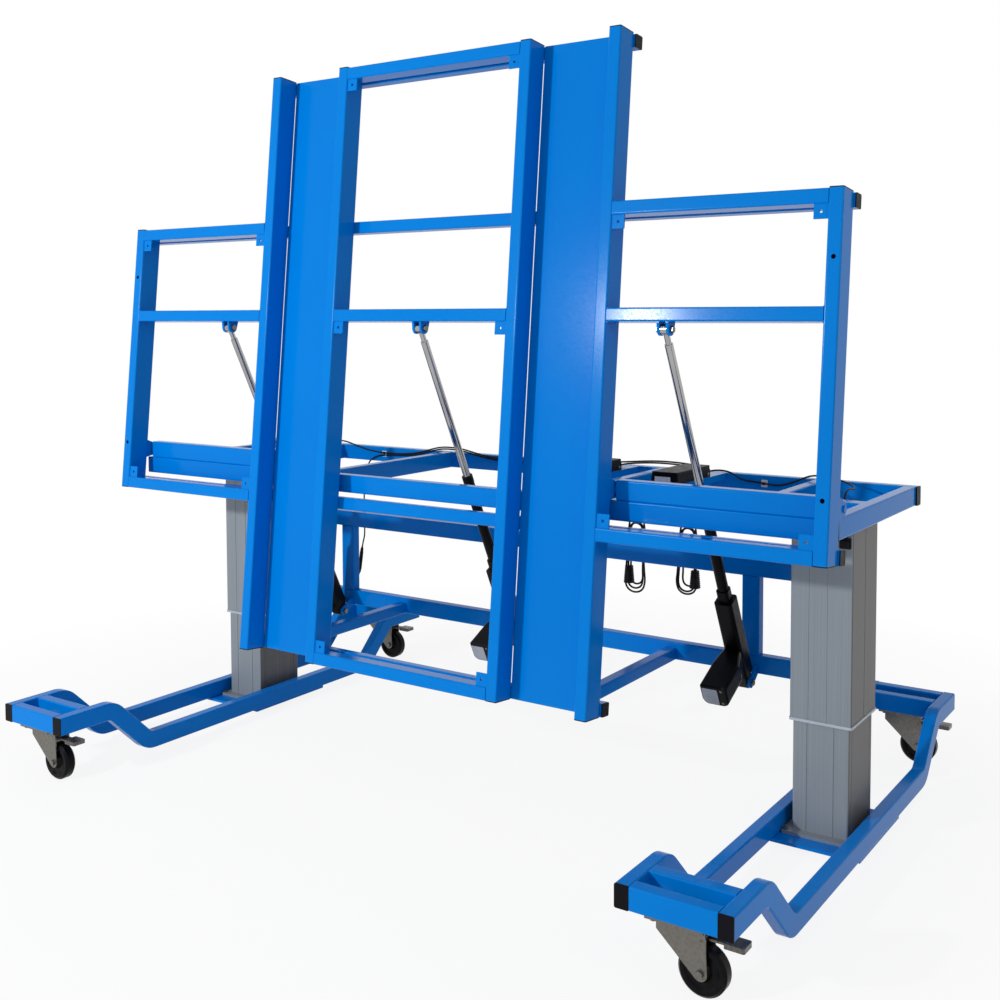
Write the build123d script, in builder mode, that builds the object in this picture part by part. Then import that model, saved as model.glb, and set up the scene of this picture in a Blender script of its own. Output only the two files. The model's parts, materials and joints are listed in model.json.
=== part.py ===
from build123d import *
import math
import os

# Tilting lift table, in millimetres. The floor is Z = 0, X runs across the table, the worktop faces -Y.
# The model stands as photographed: the worktop is upright and leans back a little.

# Steel tube stock
tube_wall = 3.0
tube_corner = 5.0
cap_thickness = 3.0

# Casters
caster_height = 182.6
caster_plate = 6.0
caster_plate_x = 150.0
caster_plate_inset = 5.0
wheel_radius = 62.5
wheel_width = 38.0
wheel_hub_width = 46.0
wheel_hub_radius = 20.0
wheel_dish = 5.0
wheel_rim = 17.0
wheel_shoulder = 7.0
caster_trail = 50.0
kingpin_radius = 12.0
swivel_radius = 38.0
swivel_height = 12.0
swivel_gap = 0.3
fork_plate = 4.0
fork_half_top = 63.0
fork_skirt = 24.0
fork_toe_radius = 18.0
axle_radius = 6.0
axle_head_radius = 10.0
axle_head = 7.0
running_gap = 0.05
pedal_pivot_x = 54.0
pedal_pivot_drop = 33.0
pedal_pin_radius = 4.0
pedal_barrel_radius = 7.0
pedal_arm_width = 30.0
pedal_arm = 5.0
pedal_reach = 158.0
pedal_pad_length = 52.0
pedal_pad_width = 46.0
pedal_pad = 13.0
pedal_pad_corner = 5.0
pedal_side_gap = 1.5

# Feet
foot_x = 1207.5
foot_width = 306.0
foot_half_length = 951.0
foot_tube_width = 40.0
foot_tube_height = 60.0
foot_raised_run = 213.0
foot_drop = 152.3
foot_slope = 45.0
foot_bend = 62.0
foot_pocket = 60.0
foot_cross_width = 40.0

# Lifting columns
column_y = 121.4
column_width = 188.0
column_depth = 228.0
column_corner = 6.0
column_wall = 6.0
column_glide = 2.0
column_outer_length = 599.0
column_inner_length = 660.0
column_inner_wall = 5.0
column_band = 18.0
column_band_offset = 28.0
column_band_depth = 1.0
column_side_groove = 4.0
column_groove = 3.0
column_groove_depth = 1.2
column_front_groove_offset = 41.0
column_side_groove_offset = 80.0
collar_height = 8.0
collar_lip = 2.5
collar_gap = 0.4
column_plate = 10.0
column_plate_depth = 374.0
column_plate_inset = 4.0
column_foot = 10.0
column_foot_depth = 268.0
column_foot_gap = 2.5
foot_bolt_inset = 10.0
bolt_radius = 8.5
bolt_head = 6.4

# Lift frame
frame_inset = 21.0
frame_cap = 5.0
beam_width = 40.0
beam_height = 60.0
beam_bottom = 980.0
front_beam_y = -305.0
rear_beam_y = 444.0
inner_tube_x = (480.0, 1050.0)
head_plate = 5.0
bridge_width = 60.0
bridge_height = 40.0

# Rear hanging frame with the stop arms
hanging_y = 287.0
hanging_half_length = 1270.0
hanging_upper_bottom = 729.0
hanging_lower_bottom = 410.5
post_x = 876.0
post_width = 60.0
spacer_width = 80.0
stop_arm_x = 590.0
stop_arm_size = 40.0
stop_arm_z = 432.0
buffer_length = 20.0
buffer_radius = 15.0
buffer_gap = 0.4

# Worktop: s runs up along the uprights from their lower end, t runs back from their front face
lean = 5.68
upright_width = 40.0
upright_depth = 80.0
long_length = 2000.0
long_x = (369.0, 680.0)
wing_x = 1361.0
wing_start = 512.0
wing_length = 979.0
cross_height = 40.0
cross_depth = 60.0
middle_cross_s = 1161.0
rail_size = 40.0
rail_overhang = 7.0
panel_thickness = 2.0
panel_side_gap = 1.5
panel_end_gap = 3.0
gusset_size = 40.0
gusset_thickness = 5.0
gusset_recess = 5.0
gusset_hole_radius = 4.5
face_hole_radius = 6.5
face_hole_s = (681.5, 1308.4)

# Tilt hinge
pivot_s = 658.4
hinge_drop = 37.7
hinge_pin_radius = 10.0
hinge_plate = 6.0
hinge_shoulder_radius = 15.0
hinge_side_gap = 7.0
lug_thickness = 36.0
lug_half_length = 32.0
lug_radius = 20.0
lug_gap = 0.3
pin_overhang = 4.0

# Actuators
lower_pin_y = 217.0
lower_pin_z = 395.0
upper_pin_drop = 20.0
upper_pin_t = 30.0
actuator_pin_radius = 6.0
eye_width = 20.0
eye_radius = 16.0
cheek_gap = 0.3
cheek_thickness = 8.0
cheek_radius = 18.0
clevis_root = 44.0
bracket_root = 30.0
foot_eye_width = 40.0
foot_eye_radius = 20.0
foot_root = 54.0
housing_start = 38.0
housing_shoulder = 290.0
housing_end = 330.0
housing_width = 60.0
housing_depth = 60.0
housing_corner = 12.0
housing_bevel = 10.0
outer_tube_radius = 17.5
tube_collar_radius = 18.5
tube_collar_length = 26.0
mouth_setback = 50.0
rod_radius = 12.5
rod_gap = 0.3
rod_guide = 110.0
rod_head_length = 46.0
rod_neck_radius = 9.0
motor_height = 124.0
motor_neck_width = 58.0
motor_neck_depth = 62.0
motor_neck_end = 104.0
motor_offset = 10.0
motor_width = 89.0
motor_depth = 76.0
motor_corner = 9.0
motor_heel = 24.0
motor_reach = 214.0
motor_rim = 5.0
seam = 0.3
nut_radius = 10.0
nut_height = 8.0

# Control box on its shelf, and the cables
box_x = (325.0, 664.0)
box_front = 62.0
box_width = 95.0
box_length = 250.0
box_height = 38.0
box_corner = 6.0
box_lid = 25.0
box_lid_step = 1.5
shelf_thickness = 4.0
shelf_margin = 6.0
shelf_flange = 22.0
cable_radius = 3.0
cable_sides = 6
gland_radius = 7.0
gland_length = 14.0
gland_spacing = 28.0
cable_lift = 0.4
connector_radius = 7.5
connector_length = 74.0
cable_stack = 7.4
lead_x = -910.0
lead_y = 412.0
lead_gland_z = 440.5
column_gland_y = 200.0
hank_x = (360.0, 565.0)
hank_bottom = (579.0, 596.0)
hank_radius = 3.5
hank_loops = 3
hank_pitch = 9.0
hank_bottom_radius = 39.0
hank_shrink = 4.0
hank_top_radius = 15.0
hank_neck = 800.0
hank_samples = 700

# Derived places of the feet and columns
foot_tube_offset = (foot_width - foot_tube_width) / 2
foot_low_bottom = caster_height - foot_drop
foot_gap = foot_width - 2 * foot_tube_width
caster_y = foot_half_length - foot_cross_width - foot_pocket / 2
column_foot_bottom = foot_low_bottom
column_inner_bottom = column_foot_bottom + column_foot
column_inset = column_wall + column_glide
column_top = beam_bottom
column_mouth = column_top - column_outer_length
column_back = column_y + column_depth / 2

# Derived places of the lift frame
frame_half_width = wing_x + upright_width / 2 - frame_inset
beam_top = beam_bottom + beam_height
front_beam_back = front_beam_y + beam_width / 2
rear_beam_front = rear_beam_y - beam_width / 2
hanging_front = hanging_y - beam_width / 2
hanging_back = hanging_y + beam_width / 2

# Derived places of the worktop and its hinge
lean_sin = math.sin(math.radians(lean))
lean_cos = math.cos(math.radians(lean))
pivot_t = upright_depth + hinge_drop
pivot_y = front_beam_y
pivot_z = beam_top + beam_height / 2
along = Vector(0, lean_sin, lean_cos)
back = Vector(0, lean_cos, -lean_sin)
rail_back = upright_depth + rail_size
long_inner, long_outer = long_x
wing_end = wing_start + wing_length
tier_inner = long_outer + upright_width / 2 + hinge_side_gap
tier_outer = wing_x - upright_width / 2 - hinge_side_gap
tier_length = tier_outer - tier_inner
tier_x = (tier_outer + tier_inner) / 2


def on_worktop(x, s, t):
    """Point at x across, s up along and t behind the worktop's front face."""
    return Vector(x, pivot_y, pivot_z) + along * (s - pivot_s) + back * (t - pivot_t)


def upright_plane(x, s):
    """Plane across an upright: local x is X, local y points back, the normal runs up the upright."""
    return Plane(on_worktop(x, s, upright_depth / 2), x_dir=(1, 0, 0), z_dir=along)


def crosswise_plane(x, s, t):
    """Plane across a cross tube or rail: local x runs up the worktop, local y forward, the normal is X."""
    return Plane(on_worktop(x, s, t), x_dir=along, z_dir=(1, 0, 0))


def front_plane(t):
    """Plane parallel to the worktop's front face, t behind it: local y runs up, the normal points forward."""
    return Plane(on_worktop(0, 0, t), x_dir=(1, 0, 0), z_dir=-back)


# Derived places of the actuators, in line with the posts
actuator_x = (-post_x, 0, post_x)
upper_pin_s = middle_cross_s - cross_height / 2 - upper_pin_drop
lower_pin = Vector(0, lower_pin_y, lower_pin_z)
upper_pin = on_worktop(0, upper_pin_s, upper_pin_t)
actuator_length = (upper_pin - lower_pin).length
actuator_axis = (upper_pin - lower_pin).normalized()
flat_pin = Vector(0, pivot_y + upper_pin_s - pivot_s, pivot_z + pivot_t - upper_pin_t)
closed_length = (flat_pin - lower_pin).length
stroke = actuator_length - closed_length
mouth = closed_length - mouth_setback
clevis_offset = (eye_width + cheek_thickness) / 2 + cheek_gap
bracket_offset = (foot_eye_width + cheek_thickness) / 2 + cheek_gap


def actuator_plane(x, distance):
    """Plane across an actuator, this far from its lower pin: local y points back, the normal is its axis."""
    return Plane(Vector(x, 0, 0) + lower_pin + actuator_axis * distance, x_dir=(1, 0, 0), z_dir=actuator_axis)


def side_plane(x, y, z):
    """Upright plane across X at a point: local x is Y, local y is Z, the normal is X."""
    return Plane((x, y, z), x_dir=(0, 1, 0), z_dir=(1, 0, 0))


def box_tube(plane, width, depth, length):
    """Rectangular hollow tube from a plane along its normal."""
    with BuildSketch(plane) as section:
        RectangleRounded(width, depth, tube_corner)
        Rectangle(width - 2 * tube_wall, depth - 2 * tube_wall, mode=Mode.SUBTRACT)
    extrude(section.sketch, amount=length)


def end_cap(plane, width, depth, thickness=cap_thickness):
    """Plastic cap on a tube's end, out along the plane's normal."""
    with BuildSketch(plane) as outline:
        RectangleRounded(width, depth, tube_corner)
    extrude(outline.sketch, amount=thickness)


def block(plane, width, depth, height):
    """Plain bar or plate from a plane along its normal."""
    with BuildSketch(plane) as outline:
        Rectangle(width, depth)
    extrude(outline.sketch, amount=height)


def disc(plane, radius, height, mode=Mode.ADD):
    """Round boss, pin or bore from a plane along its normal."""
    with BuildSketch(plane) as outline:
        Circle(radius)
    extrude(outline.sketch, amount=height, mode=mode)


def hexagon(plane, radius, height):
    """Hexagonal bolt head or nut from a plane along its normal."""
    with BuildSketch(plane) as outline:
        RegularPolygon(radius, 6)
    extrude(outline.sketch, amount=height)


def save(builder, name):
    builder.part.label = name
    export_step(builder.part, f"parts/{name}.step")


def save_mirrored(builder, name):
    """Save a piece that stands on the right together with its mirror image on the left."""
    with builder:
        mirror(about=Plane.YZ)
    save(builder, name)


os.makedirs("parts", exist_ok=True)

# Feet: two cranked tubes each, raised over the casters and low between them
foot_raised_z = caster_height + foot_tube_height / 2
foot_low_z = foot_low_bottom + foot_tube_height / 2
foot_slope_run = foot_drop / math.tan(math.radians(foot_slope))
foot_tube_end = foot_half_length - cap_thickness
foot_knee = foot_half_length - foot_raised_run
foot_heel = foot_knee - foot_slope_run


def foot_tube(x):
    path_points = [
        (x, -foot_tube_end, foot_raised_z),
        (x, -foot_knee, foot_raised_z),
        (x, -foot_heel, foot_low_z),
        (x, foot_heel, foot_low_z),
        (x, foot_knee, foot_raised_z),
        (x, foot_tube_end, foot_raised_z),
    ]
    with BuildLine() as path:
        FilletPolyline(*path_points, radius=foot_bend)
    with BuildSketch(Plane(path_points[0], x_dir=(1, 0, 0), z_dir=(0, 1, 0))) as section:
        RectangleRounded(foot_tube_width, foot_tube_height, tube_corner)
        Rectangle(foot_tube_width - 2 * tube_wall, foot_tube_height - 2 * tube_wall, mode=Mode.SUBTRACT)
    sweep(section.sketch, path=path.line)


for foot_name, foot_side in (("left", -1), ("right", 1)):
    with BuildPart() as foot_tubes:
        foot_tube(foot_side * foot_x - foot_tube_offset)
        foot_tube(foot_side * foot_x + foot_tube_offset)
    save(foot_tubes, f"foot_tubes_{foot_name}")

with BuildPart() as foot_cross_tubes:
    for end in (-1, 1):
        for distance in (foot_cross_width / 2, 1.5 * foot_cross_width + foot_pocket):
            cross_y = end * (foot_half_length - distance)
            cross_start = side_plane(foot_x - foot_gap / 2, cross_y, foot_raised_z)
            box_tube(cross_start, foot_cross_width, foot_tube_height, foot_gap)
save_mirrored(foot_cross_tubes, "foot_cross_tubes")

with BuildPart() as foot_end_caps:
    for end in (-1, 1):
        for offset in (-foot_tube_offset, foot_tube_offset):
            cap_origin = (foot_x + offset, end * foot_tube_end, foot_raised_z)
            end_cap(Plane(cap_origin, x_dir=(1, 0, 0), z_dir=(0, end, 0)), foot_tube_width, foot_tube_height)
save_mirrored(foot_end_caps, "foot_end_caps")

# Columns: a plate welded under the foot tubes, the bolted column foot, inner and outer tube, lip seal
column_plate_plane = Plane((foot_x, column_y, foot_low_bottom - column_plate))
column_foot_plane = Plane((foot_x, column_y, column_foot_bottom))
column_foot_width = foot_gap - 2 * column_foot_gap
inner_width = column_width - 2 * column_inset
inner_depth = column_depth - 2 * column_inset

with BuildPart() as foot_column_plates:
    block(column_plate_plane, foot_width - 2 * column_plate_inset, column_plate_depth, column_plate)
save_mirrored(foot_column_plates, "foot_column_plates")

with BuildPart() as column_feet:
    block(column_foot_plane, column_foot_width, column_foot_depth, column_foot)
    fillet(column_feet.edges().filter_by(Axis.Z), column_corner)
save_mirrored(column_feet, "column_feet")

with BuildPart() as column_inner_tubes:
    with BuildSketch(Plane((foot_x, column_y, column_inner_bottom))) as inner_profile:
        RectangleRounded(inner_width, inner_depth, column_corner)
        inner_hole = (inner_width - 2 * column_inner_wall, inner_depth - 2 * column_inner_wall)
        Rectangle(*inner_hole, mode=Mode.SUBTRACT)
        with GridLocations(2 * column_front_groove_offset, inner_depth, 2, 2):
            Rectangle(column_groove, 2 * column_groove_depth, mode=Mode.SUBTRACT)
        with GridLocations(inner_width, 2 * column_side_groove_offset, 2, 2):
            Rectangle(2 * column_groove_depth, column_groove, mode=Mode.SUBTRACT)
    extrude(amount=column_inner_length)
save_mirrored(column_inner_tubes, "column_inner_tubes")

with BuildPart() as column_outer_tubes:
    with BuildSketch(Plane((foot_x, column_y, column_mouth))) as outer_profile:
        RectangleRounded(column_width, column_depth, column_corner)
        Rectangle(column_width - 2 * column_wall, column_depth - 2 * column_wall, mode=Mode.SUBTRACT)
        with GridLocations(2 * column_band_offset, column_depth, 2, 2):
            Rectangle(column_band, 2 * column_band_depth, mode=Mode.SUBTRACT)
        with GridLocations(column_width, 0, 2, 1):
            Rectangle(2 * column_band_depth, column_side_groove, mode=Mode.SUBTRACT)
    extrude(amount=column_outer_length)
save_mirrored(column_outer_tubes, "column_outer_tubes")

with BuildPart() as column_collars:
    with BuildSketch(Plane((foot_x, column_y, column_mouth - collar_height))) as collar_profile:
        collar_width = column_width + 2 * collar_lip
        collar_depth = column_depth + 2 * collar_lip
        RectangleRounded(collar_width, collar_depth, column_corner + collar_lip)
        RectangleRounded(
            inner_width + 2 * collar_gap,
            inner_depth + 2 * collar_gap,
            column_corner + collar_gap,
            mode=Mode.SUBTRACT,
        )
    extrude(amount=collar_height)
save_mirrored(column_collars, "column_collars")

# Caster plates with their kingpins, between the two cross tubes of each raised end
caster_plate_bottom = caster_height - caster_plate
caster_plate_y = 2 * foot_cross_width + foot_pocket - 2 * caster_plate_inset
caster_bolt_x = caster_plate_x / 2 - 2 * bolt_radius
caster_bolt_y = (foot_pocket + foot_cross_width) / 2

with BuildPart() as caster_plates:
    for end in (-1, 1):
        plate_plane = Plane((foot_x, end * caster_y, caster_plate_bottom))
        block(plate_plane, caster_plate_x, caster_plate_y, caster_plate)
        disc(plate_plane, kingpin_radius, -swivel_gap - swivel_height)
save_mirrored(caster_plates, "caster_plates")

with BuildPart() as base_bolts:
    foot_bolt_span_x = column_foot_width - 2 * foot_bolt_inset
    foot_bolt_span_y = column_foot_depth - 2 * foot_bolt_inset
    with BuildSketch(Plane((foot_x, column_y, column_inner_bottom))) as foot_bolt_heads:
        with GridLocations(foot_bolt_span_x, foot_bolt_span_y, 2, 2):
            RegularPolygon(bolt_radius, 6)
    extrude(amount=bolt_head)
    for end in (-1, 1):
        under_plate = Plane((foot_x, end * caster_y, caster_plate_bottom), x_dir=(1, 0, 0), z_dir=(0, 0, -1))
        with BuildSketch(under_plate) as caster_bolt_heads:
            with GridLocations(2 * caster_bolt_x, 2 * caster_bolt_y, 2, 2):
                RegularPolygon(bolt_radius, 6)
        extrude(amount=bolt_head)
save_mirrored(base_bolts, "base_bolts")

# Casters: fork with swivel head and axle bolt, wheel, brake pedal; each trails towards +X
swivel_top = caster_plate_bottom - swivel_gap
fork_top = swivel_top - swivel_height
fork_inner = wheel_hub_width / 2 + 1.0
fork_outer = fork_inner + fork_plate
pedal_pivot_z = swivel_top - pedal_pivot_drop


def caster_fork(x, y):
    axle_x = x + caster_trail
    with BuildPart() as fork:
        disc(Plane((x, y, swivel_top), z_dir=(0, 0, -1)), swivel_radius, swivel_height)
        block(Plane((x, y, fork_top), z_dir=(0, 0, -1)), 2 * fork_half_top, 2 * fork_outer, fork_plate)
        for side in (-1, 1):
            cheek_plane = Plane((x, y + side * fork_inner, 0), x_dir=(1, 0, 0), z_dir=(0, -side, 0))
            with BuildSketch(cheek_plane) as cheek:
                flip = cheek_plane.to_local_coords(Vector(x, y, 1)).Y
                with Locations((0, flip * (fork_top - fork_skirt / 2))):
                    Rectangle(2 * fork_half_top, fork_skirt)
                with Locations((caster_trail, flip * wheel_radius)):
                    Circle(fork_toe_radius)
                make_hull()
                with Locations((pedal_pivot_x, flip * pedal_pivot_z)):
                    Circle(pedal_pin_radius + running_gap, mode=Mode.SUBTRACT)
            extrude(amount=-fork_plate)
            head_plane = Plane((axle_x, y + side * fork_outer, wheel_radius), z_dir=(0, side, 0))
            hexagon(head_plane, axle_head_radius, axle_head)
        disc(Plane((axle_x, y - fork_outer, wheel_radius), z_dir=(0, 1, 0)), axle_radius, 2 * fork_outer)
        with Locations(Plane((x, y, swivel_top))):
            Hole(kingpin_radius + running_gap, swivel_height)
    return fork


def caster_wheel(x, y):
    axle = (x + caster_trail, y, wheel_radius)
    rim_radius = wheel_radius - wheel_rim
    with BuildPart() as wheel:
        with BuildSketch(Plane(axle, x_dir=(0, 1, 0), z_dir=(1, 0, 0))) as section:
            with BuildLine() as outline:
                Polyline(
                    (0, axle_radius + running_gap),
                    (wheel_hub_width / 2, axle_radius + running_gap),
                    (wheel_hub_width / 2, wheel_hub_radius),
                    (wheel_width / 2 - wheel_dish, wheel_hub_radius + wheel_dish),
                    (wheel_width / 2 - wheel_dish, rim_radius - wheel_dish),
                    (wheel_width / 2, rim_radius),
                    (wheel_width / 2, wheel_radius - wheel_shoulder),
                    (wheel_width / 2 - wheel_shoulder, wheel_radius),
                    (0, wheel_radius),
                    close=True,
                )
            make_face()
            mirror(about=Plane.YZ)
        revolve(axis=Axis(axle, (0, 1, 0)))
    return wheel


def brake_pedal(x, y):
    pivot = Vector(x + pedal_pivot_x, y, pedal_pivot_z)
    barrel_half = fork_inner - pedal_side_gap
    pad_end = x + pedal_reach
    arm_length = pad_end - pedal_pad_length / 2 - pivot.X
    with BuildPart() as pedal:
        barrel_plane = Plane(pivot - Vector(0, barrel_half, 0), z_dir=(0, 1, 0))
        disc(barrel_plane, pedal_barrel_radius, 2 * barrel_half)
        pin_plane = Plane(pivot - Vector(0, fork_outer, 0), z_dir=(0, 1, 0))
        disc(pin_plane, pedal_pin_radius, 2 * fork_outer)
        block(side_plane(pivot.X, y, pedal_pivot_z), pedal_arm_width, pedal_arm, arm_length)
        with BuildSketch(Plane((pad_end - pedal_pad_length / 2, y, pedal_pivot_z - pedal_pad / 2))) as pad:
            RectangleRounded(pedal_pad_length, pedal_pad_width, pedal_pad_corner)
        extrude(amount=pedal_pad)
    return pedal


caster_places = {
    "front_left": (-foot_x, -caster_y),
    "front_right": (foot_x, -caster_y),
    "rear_left": (-foot_x, caster_y),
    "rear_right": (foot_x, caster_y),
}
for caster_name, (caster_x, caster_place_y) in caster_places.items():
    save(caster_fork(caster_x, caster_place_y), f"caster_fork_{caster_name}")
    save(caster_wheel(caster_x, caster_place_y), f"caster_wheel_{caster_name}")
    save(brake_pedal(caster_x, caster_place_y), f"brake_pedal_{caster_name}")

# Lift frame: front and rear beam, side beams, inner tubes, bridges over the columns, hinge beams
beam_mid_z = beam_bottom + beam_height / 2
beam_end = frame_half_width - cap_thickness
side_beam_x = frame_half_width - beam_width / 2
side_beam_inner = frame_half_width - beam_width
outermost_tube_x = max(inner_tube_x)
bay_start = outermost_tube_x + beam_width / 2
bay_width = side_beam_inner - bay_start
front_to_rear = rear_beam_front - front_beam_back

with BuildPart() as front_beam:
    box_tube(side_plane(-beam_end, front_beam_y, beam_mid_z), beam_width, beam_height, 2 * beam_end)
save(front_beam, "front_beam")

with BuildPart() as side_beams:
    side_start = Plane((side_beam_x, front_beam_back, beam_mid_z), x_dir=(1, 0, 0), z_dir=(0, 1, 0))
    box_tube(side_start, beam_width, beam_height, front_to_rear)
save_mirrored(side_beams, "side_beams")

with BuildPart() as rear_beam:
    rear_start = side_plane(-frame_half_width, rear_beam_y, beam_mid_z)
    box_tube(rear_start, beam_width, beam_height, 2 * frame_half_width)
save(rear_beam, "rear_beam")

with BuildPart() as inner_tubes:
    for tube_x in inner_tube_x:
        tube_start = Plane((tube_x, front_beam_back, beam_mid_z), x_dir=(1, 0, 0), z_dir=(0, 1, 0))
        box_tube(tube_start, beam_width, beam_height, front_to_rear)
    bridge_z = beam_bottom + head_plate + bridge_height / 2
    box_tube(side_plane(bay_start, column_y, bridge_z), bridge_width, bridge_height, bay_width)
save_mirrored(inner_tubes, "inner_tubes")

with BuildPart() as hinge_beams:
    tier_start = side_plane(tier_inner + hinge_plate, pivot_y, pivot_z)
    box_tube(tier_start, beam_width, beam_height, tier_length - 2 * hinge_plate)
save_mirrored(hinge_beams, "hinge_beams")

with BuildPart() as hinge_pins:
    lug_inset = (upright_width - lug_thickness) / 2
    shoulder = hinge_side_gap + lug_inset - lug_gap
    for end, plate_x in ((-1, tier_inner + hinge_plate), (1, tier_outer - hinge_plate)):
        plate_plane = Plane((plate_x, pivot_y, pivot_z), x_dir=(0, 1, 0), z_dir=(end, 0, 0))
        with BuildSketch(plate_plane) as plate_outline:
            RectangleRounded(beam_width, beam_height, tube_corner)
        extrude(amount=hinge_plate)
        disc(plate_plane.offset(hinge_plate), hinge_shoulder_radius, shoulder)
        pin_length = shoulder + lug_gap + lug_thickness + pin_overhang
        disc(plate_plane.offset(hinge_plate), hinge_pin_radius, pin_length)
save_mirrored(hinge_pins, "hinge_pins")

with BuildPart() as frame_end_caps:
    end_cap(side_plane(beam_end, front_beam_y, beam_mid_z), beam_width, beam_height)
    end_cap(side_plane(frame_half_width, rear_beam_y, beam_mid_z), beam_width, beam_height, frame_cap)
save_mirrored(frame_end_caps, "frame_end_caps")

# Plates in the frame that close the columns, and the shelves of the two control boxes
box_back = box_front + box_length
shelf_front = box_front - shelf_margin
shelf_width = box_width + 2 * shelf_margin
shelf_length = rear_beam_front - shelf_front

with BuildPart() as frame_plates:
    for side in (-1, 1):
        head_origin = (side * (bay_start + side_beam_inner) / 2, column_y, column_top)
        block(Plane(head_origin), bay_width, column_depth, head_plate)
    shelf_y = (shelf_front + rear_beam_front) / 2
    for x in box_x:
        block(Plane((x, shelf_y, beam_top - shelf_thickness)), shelf_width, shelf_length, shelf_thickness)
        for side in (-1, 1):
            flange_plane = Plane((x + side * (shelf_width - shelf_thickness) / 2, shelf_y, beam_top - shelf_flange))
            block(flange_plane, shelf_thickness, shelf_length, shelf_flange)
save(frame_plates, "frame_plates")

with BuildPart() as control_box:
    box_y = box_front + box_length / 2
    for x in box_x:
        with BuildSketch(Plane((x, box_y, beam_top))) as box_base:
            RectangleRounded(box_width, box_length, box_corner)
        extrude(amount=box_lid)
        with BuildSketch(Plane((x, box_y, beam_top + box_lid))) as box_cover:
            RectangleRounded(box_width - 2 * box_lid_step, box_length - 2 * box_lid_step, box_corner)
        extrude(amount=box_height - box_lid)
    lids = control_box.faces().group_by(Axis.Z)[-1]
    chamfer(lids.edges(), box_lid_step)
save(control_box, "control_box")

# Rear hanging frame behind the columns
upper_mid = hanging_upper_bottom + beam_height / 2
lower_mid = hanging_lower_bottom + beam_height / 2
lower_top = hanging_lower_bottom + beam_height

with BuildPart() as rear_cross_beams:
    for beam_z in (upper_mid, lower_mid):
        beam_start = side_plane(-hanging_half_length, hanging_y, beam_z)
        box_tube(beam_start, beam_width, beam_height, 2 * hanging_half_length)
save(rear_cross_beams, "rear_cross_beams")

with BuildPart() as rear_posts:
    post_start = Plane((post_x, hanging_y, lower_top))
    box_tube(post_start, post_width, beam_width, hanging_upper_bottom - lower_top)
    for beam_z in (upper_mid, lower_mid):
        spacer_plane = Plane((foot_x, column_back, beam_z), x_dir=(1, 0, 0), z_dir=(0, 1, 0))
        block(spacer_plane, spacer_width, beam_height, hanging_front - column_back)
save_mirrored(rear_posts, "rear_posts")

# Stop arms: the bottom rail rests against their buffers when the worktop is upright
rail_tilt = lean_sin / lean_cos
rail_face_y = pivot_y + (stop_arm_z - pivot_z) * rail_tilt + (rail_back - pivot_t) / lean_cos
arm_front = rail_face_y + buffer_length

with BuildPart() as stop_arms:
    arm_start = Plane((stop_arm_x, arm_front, stop_arm_z), x_dir=(1, 0, 0), z_dir=(0, 1, 0))
    box_tube(arm_start, stop_arm_size, stop_arm_size, hanging_front - arm_front)
save_mirrored(stop_arms, "stop_arms")

with BuildPart() as stop_buffers:
    buffer_plane = Plane((stop_arm_x, arm_front, stop_arm_z), x_dir=(1, 0, 0), z_dir=(0, -1, 0))
    with BuildSketch(buffer_plane) as buffer_plate:
        Rectangle(stop_arm_size, stop_arm_size)
    extrude(amount=cap_thickness)
    disc(buffer_plane, buffer_radius, 2 * buffer_length)
    split(bisect_by=front_plane(rail_back + buffer_gap), keep=Keep.BOTTOM)
save_mirrored(stop_buffers, "stop_buffers")

# Actuator brackets under the lower rear beam, with their pins
bracket_pin_radius = actuator_pin_radius + running_gap

with BuildPart() as actuator_brackets:
    for x in actuator_x:
        for side in (-1, 1):
            cheek_x = x + side * bracket_offset - cheek_thickness / 2
            with BuildSketch(side_plane(cheek_x, lower_pin_y, lower_pin_z)) as bracket:
                Circle(cheek_radius)
                root_y = hanging_front - lower_pin_y - 1
                root_z = hanging_lower_bottom - lower_pin_z + bracket_root / 2
                with Locations((root_y, root_z)):
                    Rectangle(2, bracket_root)
                make_hull()
                Circle(bracket_pin_radius, mode=Mode.SUBTRACT)
            extrude(amount=cheek_thickness)
save(actuator_brackets, "actuator_brackets")

with BuildPart() as actuator_pins:
    pin_half_length = bracket_offset + cheek_thickness / 2
    for x in actuator_x:
        disc(side_plane(x - pin_half_length, lower_pin_y, lower_pin_z), actuator_pin_radius, 2 * pin_half_length)
        hexagon(side_plane(x + pin_half_length, lower_pin_y, lower_pin_z), nut_radius, nut_height)
        hexagon(side_plane(x - pin_half_length, lower_pin_y, lower_pin_z), nut_radius, -nut_height)
save(actuator_pins, "actuator_pins")

# Worktop uprights
long_tube = long_length - 2 * cap_thickness
wing_tube = wing_length - 2 * cap_thickness

with BuildPart() as long_uprights:
    for x in long_x:
        box_tube(upright_plane(x, cap_thickness), upright_width, upright_depth, long_tube)
save_mirrored(long_uprights, "long_uprights")

with BuildPart() as wing_uprights:
    box_tube(upright_plane(wing_x, wing_start + cap_thickness), upright_width, upright_depth, wing_tube)
    for s in face_hole_s:
        with BuildSketch(front_plane(0)) as face_hole:
            with Locations((wing_x, s)):
                Circle(face_hole_radius)
        extrude(amount=-tube_wall - tube_corner, mode=Mode.SUBTRACT)
save_mirrored(wing_uprights, "wing_uprights")

# Worktop cross tubes, front flush with the uprights, and the rails across their backs
centre_half = long_inner - upright_width / 2
wing_inner = long_outer + upright_width / 2
wing_gap = wing_x - upright_width / 2 - wing_inner
centre_cross_s = (cross_height / 2, middle_cross_s, long_length - cap_thickness - cross_height / 2)
wing_cross_s = (wing_start + cross_height / 2, middle_cross_s, wing_end - cap_thickness - cross_height / 2)
rail_rows = (
    (cross_height / 2, long_outer),
    (wing_start + cross_height / 2, wing_x),
    (wing_end - cap_thickness - rail_size / 2, wing_x),
    (long_length - cap_thickness - rail_size / 2, long_outer),
)

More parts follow.
